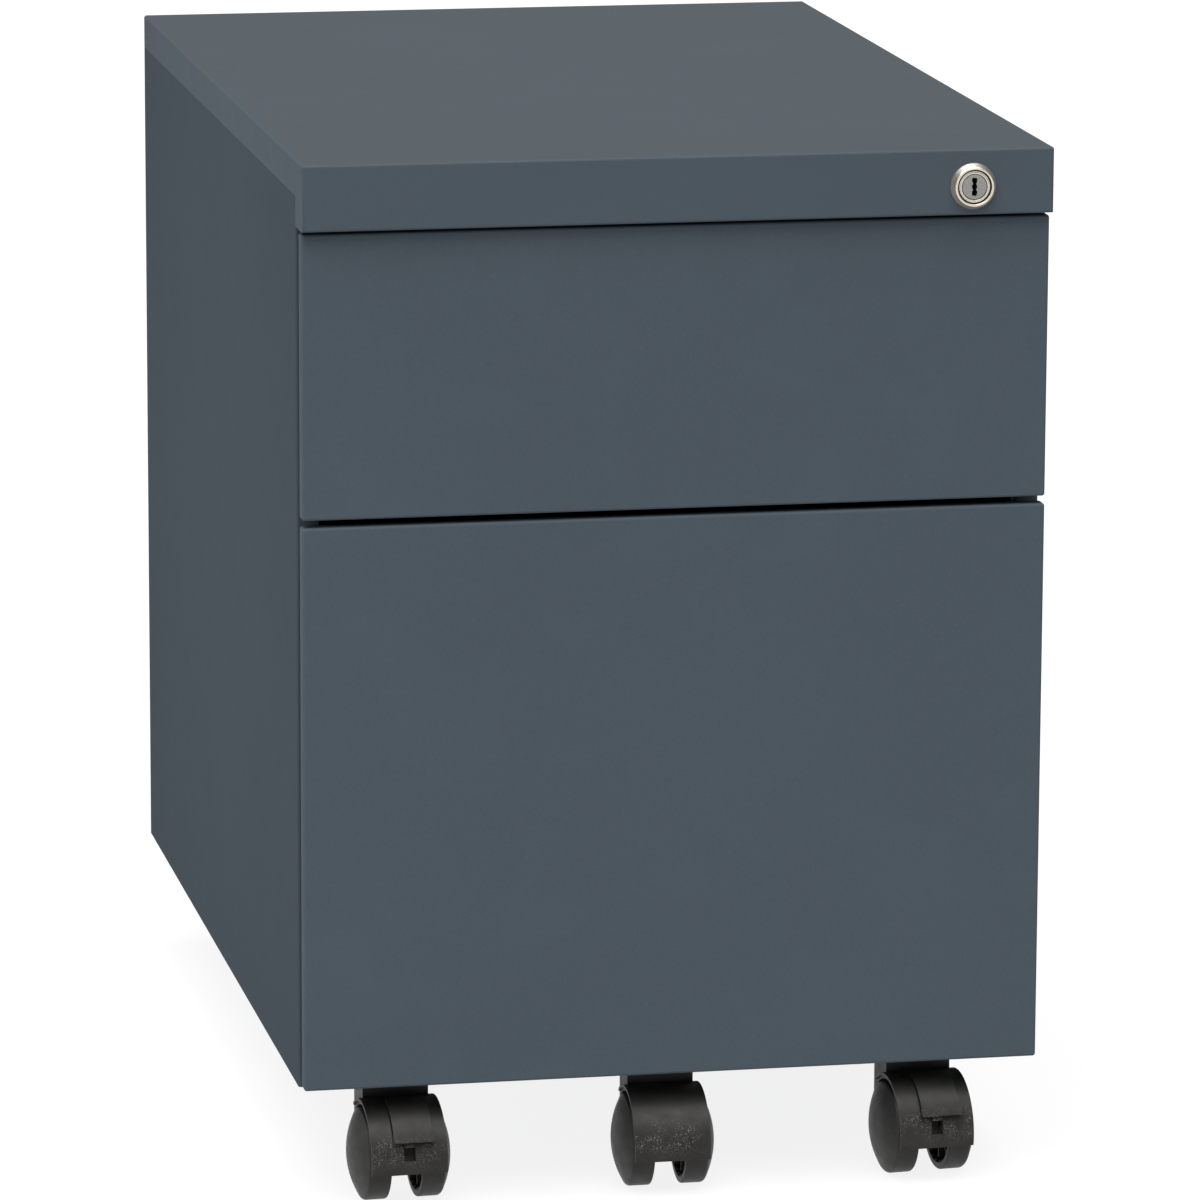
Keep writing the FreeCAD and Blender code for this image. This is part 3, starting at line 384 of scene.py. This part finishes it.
def wheel_rings(sign):
    """Rings of a twin castor's wheel about its axle, with ribs in the dish and teeth for the brake."""
    floor, rim = "floor", "rim"
    profile = [
        (24.3, 0), (24.3, 3.08), (8.2, 3.08), (8.2, 6.5), (8.35, 6.85), (8.7, 7.0), (11.2, 7.5), (17.2, 8.3),
        (17.55, 8.45), (17.7, 8.9, floor), (17.7, 19.4, floor), (17.6, 19.85), (17.3, 20.05, rim),
        (9.6, 21.2, rim),
        (8.9, 21.35), (8.66, 21.5), (8.6, 21.75), (8.6, 24.3), (8.75, 24.7), (9.05, 24.93), (9.45, 25),
        (13.7, 25), (13.85, 24.93), (14.0, 25),
    ]
    profile += arc_points((19.0, 22.5), 2.5, 90, 32, 6)
    profile += [(math.sqrt(DOME_RADIUS ** 2 - radius ** 2) - DOME_CENTRE, radius)
                for radius in (23, 22, 20, 18, 16, 14, 12, 10, 8, 6, 4, 2, 0)]
    rings = []
    for along, radius, *kind in profile:
        if radius == 0:
            rings.append([(sign * along * MM, 0, 0)])
            continue
        ring = []
        for step in range(WHEEL_STEPS):
            turn = 2 * math.pi * step / WHEEL_STEPS
            here, reach = along, radius
            if kind == [floor] and step % RIB_PERIOD < RIB_STEPS:
                here = RIB_FACE
            if kind == [rim] and step % TOOTH_PERIOD < TOOTH_STEPS:
                reach -= TOOTH_DEPTH
            ring.append((sign * here * MM, reach * math.cos(turn) * MM, reach * math.sin(turn) * MM))
        rings.append(ring)
    return rings


def castor_matrix(name):
    """From a castor's own frame, with its origin on the middle of the axle and X along it, to the part's."""
    roll = JOINTS[f"castor_{name}_left_wheel_roll"]
    along = Vector(roll["axis"]).normalized()
    up = Vector((0, 0, 1))
    back = up.cross(along)
    columns = (along, back, up, Vector(roll["pos_m"]))
    return Matrix([[column[row] for column in columns] for row in range(3)] + [[0, 0, 0, 1]])


def make_wheels(name):
    matrix = castor_matrix(name)
    for side, sign in (("left", -1), ("right", 1)):
        node = f"castor_{name}_{side}_wheel"
        piece_from(f"{node}_moulding", lambda work: revolve(work, wheel_rings(sign), matrix), node,
                   ["castor_tread"], node)


LOCK_STEPS = 144
# X and Z of the lock's own frame lie across it, and its Y runs into the cabinet
LOCK_MATRIX = Matrix.Translation(LOCK_CENTRE)
# The bands below take lock_gap, painted shade where these grooves lie in shadow.
HOUSING_DARK = (0, 4, 5, 6)  # bands of the profile, counted from its start
PLUG_DARK = (11, 12)


def lock_ring(depth, radius):
    if radius == 0:
        return [(0, depth * MM, 0)]
    turns = [2 * math.pi * step / LOCK_STEPS for step in range(LOCK_STEPS)]
    return [(radius * math.cos(turn) * MM, depth * MM, radius * math.sin(turn) * MM) for turn in turns]


def build_lock_housing(work):
    """Bezel and body of the lock. Material 0 is turned, 1 painted shade in the groove and bore."""
    profile = [
        (19, 7.81), (-3.95, 7.81), (-4.05, 7.9), (-4.05, 8.2), (-3.95, 8.3), (-3.2, 8.35), (-3.2, 9.0),
        (-3.6, 9.12), (-4.6, 9.16), (-4.85, 9.24), (-4.97, 9.4), (-5.0, 9.6), (-5.0, 9.95), (-4.96, 10.15),
        (-4.8, 10.35), (-4.2, 10.66), (-3.2, 11.15), (-2.2, 11.66), (-1.6, 11.98), (-1.25, 12.17),
        (-0.9, 12.25), (-0.15, 12.25), (0, 12.1), (0, 9.5), (18.6, 9.5), (19, 9.1), (19, 7.81),
    ]
    revolve(work, [lock_ring(*point) for point in profile], LOCK_MATRIX,
            lambda index: 1 if index in HOUSING_DARK else 0)


SLOT_OUTLINE = [
    (-0.9, -4.8), (1.1, -4.8), (1.1, -3.9), (1.45, -3.7), (1.45, -2.2), (1.0, -2.0), (1.0, -1.1),
    (1.35, -0.8), (1.35, 0.9), (0.95, 1.15), (0.95, 2.0), (1.4, 2.3), (1.4, 4.1), (1.0, 4.8),
    (-1.1, 4.8), (-1.4, 4.0), (-1.4, 2.5), (-0.9, 2.2), (-0.9, 1.3), (-1.45, 1.0), (-1.45, -0.6),
    (-1.0, -0.9), (-1.0, -1.9), (-1.4, -2.2), (-1.4, -3.9),
]
SLOT_DEPTH = 12.0
PLUG_FACE = -3.85


def build_lock_plug(work):
    """Plug with a raised rim, a cast face and a warded keyway. Material 0 is turned, 1 cast, 2 painted shade in
    the keyway and the ring groove.
    """
    profile = [
        (25.1, 0), (25.1, 3.7), (24.8, 4), (20.8, 4), (20.8, 7.5), (20.5, 7.75), (-3.95, 7.75), (-4.09, 7.69),
        (-4.15, 7.55), (-4.15, 7.1), (-4.08, 6.98), (PLUG_FACE + 0.3, 6.88), (PLUG_FACE + 0.3, 6.6),
        (PLUG_FACE, 6.5),
    ]
    revolve(work, [lock_ring(*point) for point in profile], LOCK_MATRIX,
            lambda index: 2 if index in PLUG_DARK else 0)
    work.verts.ensure_lookup_table()
    rim = work.verts[-LOCK_STEPS:]
    slot, deep = [
        [work.verts.new(LOCK_MATRIX @ Vector((x * MM, depth * MM, z * MM))) for x, z in SLOT_OUTLINE]
        for depth in (PLUG_FACE, PLUG_FACE + SLOT_DEPTH)
    ]
    edges = []
    for loop in (rim, slot):
        for one, other in zip(loop, loop[1:] + loop[:1]):
            edges.append(work.edges.get((one, other)) or work.edges.new((one, other)))
    filled = bmesh.ops.triangle_fill(work, use_beauty=True, use_dissolve=False, edges=edges)
    for item in filled["geom"]:
        if isinstance(item, bmesh.types.BMFace):
            item.material_index = 1
    for index in range(len(slot)):
        after = (index + 1) % len(slot)
        work.faces.new((slot[index], slot[after], deep[after], deep[index])).material_index = 2
    work.faces.new(deep).material_index = 2


# ---- stage ----

FLOOR_REACH, FLOOR_DROP = 14.0, 0.0004
FLOOR_TONE, FLOOR_GLOW = 0.12, 0.86
WORLD_STRENGTH = 0.2
SKY_ENERGY, SKY_ANGLE, SKY_DIRECTION = 5.4, math.radians(70), Vector((0.1, 0.25, -1))
AREA_LIGHTS = [  # name, place, aim, size, power
    ("front_left", (-1.7, -2.3, 1.2), (-0.1, -0.2, 0.3), (1.3, 1.6), 10),
    ("side_left", (-0.85, 0.0, 0.36), (-0.2, 0.0, 0.34), (0.3, 0.3), 1.6),
]


def make_stage():
    """Pale floor that glows a little, so that the shadow under the pedestal stays light."""
    graph = Graph("studio_floor")
    graph.finish(Base_Color=(FLOOR_TONE, FLOOR_TONE, FLOOR_TONE, 1), Roughness=0.9, Specular_IOR_Level=0.0,
                 Emission_Color=(1, 1, 1, 1), Emission_Strength=FLOOR_GLOW)
    mesh = bpy.data.meshes.new("studio_floor")
    corners = [(x * FLOOR_REACH, y * FLOOR_REACH, 0) for x, y in ((-1, -1), (1, -1), (1, 1), (-1, 1))]
    mesh.from_pydata(corners, [], [(0, 1, 2, 3)])
    mesh.materials.append(graph.material)
    floor = bpy.data.objects.new("studio_floor", mesh)
    floor.location.z = -FLOOR_DROP
    bpy.context.scene.collection.objects.link(floor)


def make_light(name, place, aim, size, power):
    data = bpy.data.lights.new(name, "AREA")
    data.shape, data.size, data.size_y, data.energy = "RECTANGLE", size[0], size[1], power
    light = bpy.data.objects.new(name, data)
    light.location = place
    light.rotation_euler = (Vector(aim) - Vector(place)).to_track_quat("-Z", "Y").to_euler()
    bpy.context.scene.collection.objects.link(light)


def make_lights():
    world = bpy.data.worlds.new("studio")
    world.use_nodes = True
    background = world.node_tree.nodes["Background"]
    background.inputs["Color"].default_value = (1, 1, 1, 1)
    background.inputs["Strength"].default_value = WORLD_STRENGTH
    bpy.context.scene.world = world
    bpy.context.scene.view_settings.view_transform = "Standard"
    sky = bpy.data.lights.new("sky", "SUN")
    sky.energy, sky.angle = SKY_ENERGY, SKY_ANGLE
    light = bpy.data.objects.new("sky", sky)
    light.rotation_euler = SKY_DIRECTION.to_track_quat("-Z", "Y").to_euler()
    bpy.context.scene.collection.objects.link(light)
    for light_values in AREA_LIGHTS:
        make_light(*light_values)


make_camera()
for subpart in frame["record"]["subparts"]:
    finish_node(subpart["node"], subpart["material_slot"])
for castor_name in ("front_left", "front_right", "rear_left", "rear_right", "drawer"):
    make_wheels(castor_name)
piece_from("lock_bezel", build_lock_housing, "cabinet", ["lock_ring", "lock_gap"], "lock_housing")
piece_from("lock_core", build_lock_plug, "lock_plug", ["lock_core", "lock_cast", "lock_gap"], "lock_plug")
make_stage()
make_lights()
